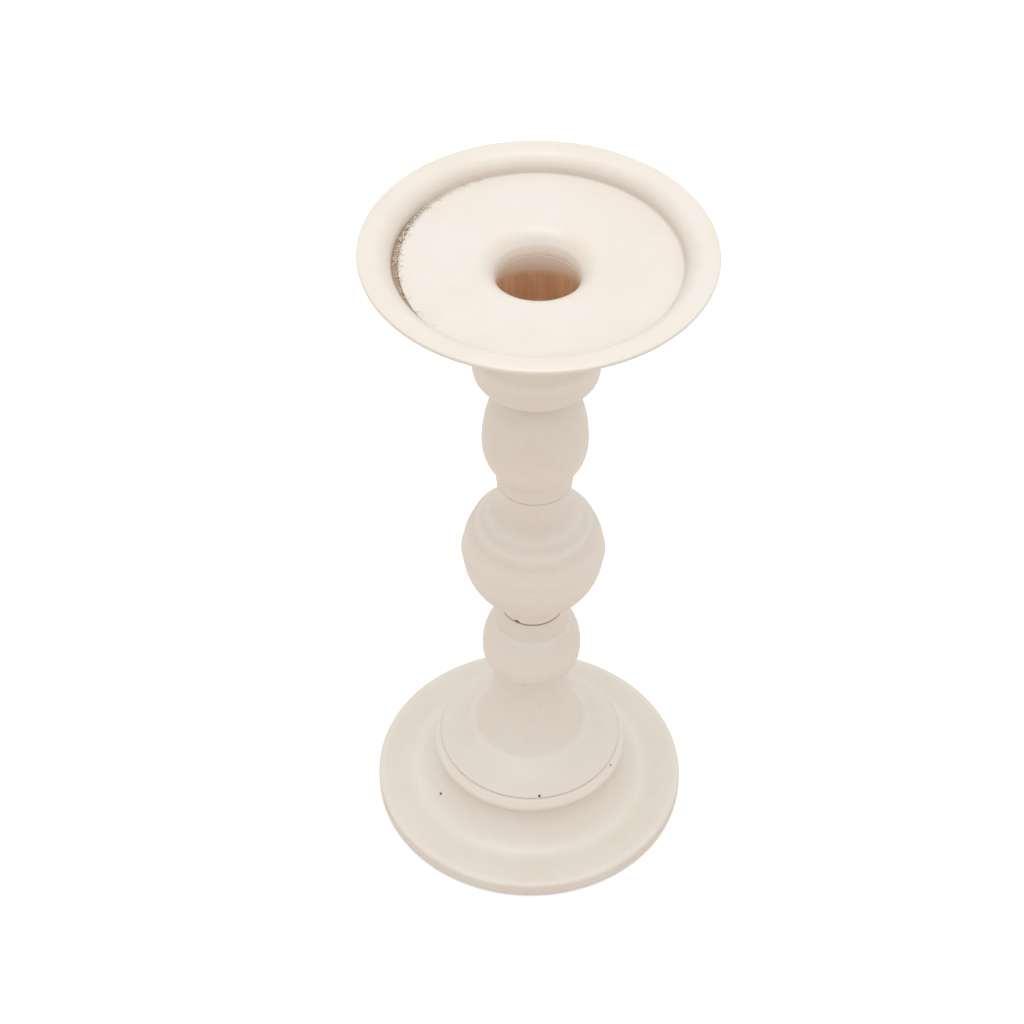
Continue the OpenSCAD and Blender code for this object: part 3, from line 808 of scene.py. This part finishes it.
# How far the floor is drawn in on the open side and let out elsewhere, and how far in from its edge
GAP_OPEN = 0.85
GAP_CLOSED = 0.45
DRAWN_REACH = 4.0
DRAWN_HEIGHT = 1.2
# How unevenly the floor's edge runs, and how rough its top is
EDGE_WANDER = 0.22
EDGE_LEAD = 0.1
EDGE_ROUGH = 0.20
EDGE_DROP = 0.28
# The groove itself: how much of its depth is filled where it is closed, and how brown it is there; and
# how strongly the floor's edge on the open side browns, as painted shade
GROOVE_MARGIN = 0.3
GROOVE_DEPTH = 1.5
GAP_FILL = 0.62
CLOSED_BROWN = 0.25
EDGE_SHADE = 0.45
# The dish's slope gets painted shade, more to the back, as far as this from the pan's edge
SLOPE_SHADE = 0.40
SLOPE_SWAY = 0.05
SLOPE_END = 4.5
SLOPE_FADE = 4.0


def gap_share(angle):
    """How wide open the groove is at an angle, from 0 to 1."""
    return np.exp(-((np.abs(apart(angle, GAP_ANGLE)) / GAP_SPREAD) ** GAP_FLATNESS))


def open_gap(piece):
    """Draws the dish's floor away from the slope on one side, and closes the groove elsewhere."""
    floor_edge = (np.abs(piece.z - dish_floor) < DRAWN_HEIGHT) & (piece.r < (GAP_IN + GAP_OUT) / 2)
    near = (1 - (GAP_IN - piece.r) / DRAWN_REACH).clip(0, 1)
    fall = np.where(floor_edge, near**1.5, 0)[:, None]
    wide = gap_share(piece.angle)
    wander = sway(piece.rng, piece.r[:, None] * 0, piece.angle, EDGE_WANDER) - EDGE_LEAD
    piece.shift[..., 0] -= fall * ((GAP_OPEN + GAP_CLOSED) * wide - GAP_CLOSED + wander)
    rough = sway(piece.rng, piece.along[:, None] * 6, piece.angle * 9, EDGE_ROUGH) - EDGE_DROP
    piece.shift[..., 1] += fall**2 * wide * rough

    groove = (piece.r > GAP_IN - GROOVE_MARGIN) & (piece.r < GAP_OUT + GROOVE_MARGIN)
    groove &= piece.z > dish_floor - GROOVE_DEPTH
    sunk = np.where(groove, (dish_floor - piece.z).clip(0), 0)[:, None]
    piece.shift[..., 1] += sunk * GAP_FILL * (1 - wide)
    brown = np.where(groove, ((dish_floor + 0.5 - piece.z) / 0.8).clip(0, 1), 0)[:, None]
    brown = brown * (CLOSED_BROWN + (1 - CLOSED_BROWN) * wide)
    # The floor by the open side browns towards the groove, a painted shade
    piece.gap = np.maximum(brown, EDGE_SHADE * fall**3 * wide)


def shade_slope(piece):
    """Browns the dish's slope a little, as painted shade."""
    slope = (piece.r > GAP_OUT) & (piece.r < pan_r - 5) & (piece.z > dish_floor - 0.2)
    fade = ((pan_r - SLOPE_END - piece.r) / SLOPE_FADE).clip(0, 1)
    tint = (slope * fade)[:, None] * (SLOPE_SHADE + SLOPE_SWAY * np.sin(piece.angle))
    piece.gap = np.maximum(piece.gap, tint)


# The raised fibres that cross the open side of the groove. Each range is (least, most), and each
# scatter is the standard deviation of a normal draw.
FIBRE_COUNT = 150
FIBRE_SIDES, FIBRE_RINGS = 5, 7
FIBRE_MIDDLE = GAP_ANGLE - math.radians(14)
FIBRE_SCATTER = 22
FIBRE_INSET, INSET_SCATTER = 0.3, 0.45
FIBRE_LENGTH = (0.7, 2.3)
FIBRE_THICKNESS = (0.05, 0.11)
FIBRE_TAPER = 0.75
FIBRE_ARCH = (0.05, 0.5)
ARCH_GAIN = 2.4
HEADING_SCATTER = 0.9
CURL_SCATTER = 0.7
FIBRE_SUNK = 0.04


def build_fibres(name, seed):
    """Pale raised fibres, each a tapering arched tube."""
    rng = np.random.default_rng(seed)
    up = np.array([0, 0, 1])
    points, faces = [], []
    turn = np.linspace(0, math.tau, FIBRE_SIDES, endpoint=False)
    for _ in range(FIBRE_COUNT):
        angle = FIBRE_MIDDLE + math.radians(rng.normal(0, FIBRE_SCATTER))
        r = GAP_IN - GAP_OPEN * gap_share(np.array(angle)) + rng.normal(-FIBRE_INSET, INSET_SCATTER)
        length, thick = rng.uniform(*FIBRE_LENGTH), rng.uniform(*FIBRE_THICKNESS)
        heading, arch = rng.normal(0, HEADING_SCATTER), rng.uniform(*FIBRE_ARCH)
        curl = rng.normal(0, CURL_SCATTER)
        base = np.array([r * math.cos(angle), r * math.sin(angle), dish_floor - FIBRE_SUNK])
        first = len(points)
        for k in range(FIBRE_RINGS):
            t = k / (FIBRE_RINGS - 1)
            way = angle + heading + curl * t
            ahead = np.array([math.cos(way), math.sin(way), 0])
            side = np.array([-math.sin(way), math.cos(way), 0])
            centre = base + ahead * length * t + up * ARCH_GAIN * arch * t * (1 - t)
            size = thick * (1 - FIBRE_TAPER * t**2)
            points += [centre + size * (math.cos(a) * side + math.sin(a) * up) for a in turn]
            if k:
                low, high = first + (k - 1) * FIBRE_SIDES, first + k * FIBRE_SIDES
                for i in range(FIBRE_SIDES):
                    j = (i + 1) % FIBRE_SIDES
                    faces.append([low + i, low + j, high + j, high + i])
        last = first + (FIBRE_RINGS - 1) * FIBRE_SIDES
        faces.append([first + i for i in range(FIBRE_SIDES)][::-1])
        faces.append([last + i for i in range(FIBRE_SIDES)])
    return make_piece(name, np.array(points), faces, {}, "cream_paint", fibre_finish("raised_fibres"))


foot = Turned(
    "foot_turned", "foot", 11, (foot_r - 5, foot_low), (foot_r - 20.6, foot_top),
    melt=[((foot_r - 12, foot_low + 6), 3.0, 0.9)],
    ridges=[
        ((foot_r - 19.35, foot_top - 2.1), 1.3, 0.85),
        ((foot_r - 12.75, foot_low + 6.1), 2.2, 0.6),
        ((foot_r - 1.45, foot_low + 5.2), 0.6, 0.35),
    ],
    pits=[
        (209.3, (foot_r - 17.05, foot_low + 8.9), 0.42, 0.55),
        (331.8, (foot_r - 20.35, foot_top - 0.6), 0.30, 0.25),
        (324.6, (foot_r - 1.45, foot_low + 5.2), 0.34, -0.10),
    ],
)
foot.roughen()
foot.build("cream_paint", level)

pedestal = Turned(
    "pedestal_turned", "pedestal", 12, (foot_r - 21.1, foot_top), (STEM_JOINT_R, pedestal_top),
    melt=[((17.5, foot_top + 7), 2.5, 0.8)],
    ridges=[((18.8, foot_top + 6.6), 1.3, 0.4), ((foot_r - 21.3, foot_top), 0.6, 0.4)],
    pits=[
        (277.0, (foot_r - 21.55, foot_top + 0.9), 0.40, 0.45),
        (283.8, (STEM_JOINT_R + 0.4, pedestal_top - 14.0), 0.45, 0.05),
        (259.1, (STEM_JOINT_R, pedestal_top - 4.6), 0.40, 0.06),
    ],
)
pedestal.roughen()
pedestal.build("cream_paint", upright)

lower_ball = Turned(
    "lower_ball_turned", "lower_ball", 13, (BALL_JOINT_R, pedestal_top), (CRACK_JOINT_R, lower_top),
    run_in=(SEAM_PAINT, CRACK_PAINT), ridges=[((12.4, pedestal_top + 14.9), 0.9, 0.9)],
    melt=[((12.0, pedestal_top + 15.0), 3.5, 0.8)],
)
lower_ball.roughen()
open_crack(lower_ball)
lower_ball.build("cream_paint", upright)

middle_ball = Turned(
    "middle_ball_turned", "middle_ball", 14, (CRACK_JOINT_R, lower_top), (NECK_JOINT_R, middle_top),
    pits=[(242.0, (CRACK_JOINT_R, lower_top + 0.4), 0.75, 0.45)], run_in=(CRACK_PAINT, SEAM_PAINT),
    ridges=[
        ((14.0, lower_top + 40.9), 1.4, 0.85),
        ((17.3, lower_top + 37.2), 1.0, 1.0),
        ((21.0, lower_top + 31.2), 2.5, 0.35),
        ((21.8, lower_top + 24.5), 1.3, 0.35),
    ],
    melt=[((17.4, lower_top + 37.2), 3.2, 0.75), ((14.5, lower_top + 41.0), 3.5, 0.9)],
)
middle_ball.roughen()
open_crack(middle_ball)
middle_ball.build("cream_paint", upright)

upper_bulb = Turned(
    "upper_bulb_turned", "upper_bulb", 15, (NECK_JOINT_R, middle_top), (CUP_JOINT_R, upper_top),
    ridges=[((11.5, middle_top + 0.8), 0.4, 0.5), ((13.3, middle_top + 11), 5.0, 0.2)],
)
upper_bulb.roughen()
upper_bulb.build("cream_paint", upright)

cup = Turned(
    "socket_cup_turned", "socket_cup", 16, (CUP_JOINT_R, cup_low), (CUP_TOP_R, pan_low),
    melt=[((CUP_TOP_R, pan_low - 13), 9.0, 0.9), ((bore_r, bore_top), 0.8, 0.04)],
    ridges=[((19.4, pan_low - 20.2), 1.4, 0.9)],
)
cup.swell(CUP_TOP_R - 0.2, pan_low - 9.5, 2.2, 0.45)
cup.roughen()
paint_bore(cup)
cup.build("cream_paint", upright)

pan = Turned(
    "pan_turned", "pan", 17, (CUP_TOP_R, pan_low), (bore_r, bore_top - 0.2),
    pits=[
        (61.5, (35.0, dish_floor), 0.30, 0.05),
        (48.7, (33.8, dish_floor), 0.26, 0.04),
        (350.6, (31.4, dish_floor), 0.26, 0.04),
    ],
    melt=[
        ((bore_r, bore_top), 0.8, 0.04),
        ((pan_r - 6, dish_floor + 4.7), 2.2, 0.9),
        ((GAP_OUT + 0.4, dish_floor + 1.9), 1.6, 0.5),
    ],
)
pan.roughen()
paint_bore(pan)
pan.swell(bore_r + 0.9, dish_floor - 3.7, 0.22, 0.07)
open_gap(pan)
shade_slope(pan)
pan.build("cream_paint", level)
build_fibres("dish_fibres", 18)

felt = Turned("felt_disc", "felt_pad", 19, (1.0, 0.0), (1.0, top_of("felt_pad")), step=1.2)
felt.move -= sway(felt.rng, felt.along[:, None], felt.angle, 0.06)
felt.move -= ripple(felt.rng, felt.along[:, None], felt.angle, 0.05, shortest=0.5, longest=1.5)
felt_piece = felt.build("felt", felt_finish("pressed_felt"))

beech = beech_finish("bare_beech")
for node in ("long_dowel", "middle_dowel", "cup_dowel"):
    frame["nodes"][node].data.materials[0] = beech
frame["nodes"]["foot_screw"].data.materials[0] = steel_finish("zinc_plated_steel")

floor_mesh = bpy.data.meshes.new("floor")
half = FLOOR_SIZE / 2
floor_mesh.from_pydata(
    [(x, y, -FLOOR_DROP) for x, y in ((-half, -half), (half, -half), (half, half), (-half, half))],
    [],
    [(0, 1, 2, 3)],
)
floor_mesh.materials.append(floor_finish("floor"))
floor = bpy.data.objects.new("floor", floor_mesh)
bpy.context.collection.objects.link(floor)

bpy.context.view_layer.update()
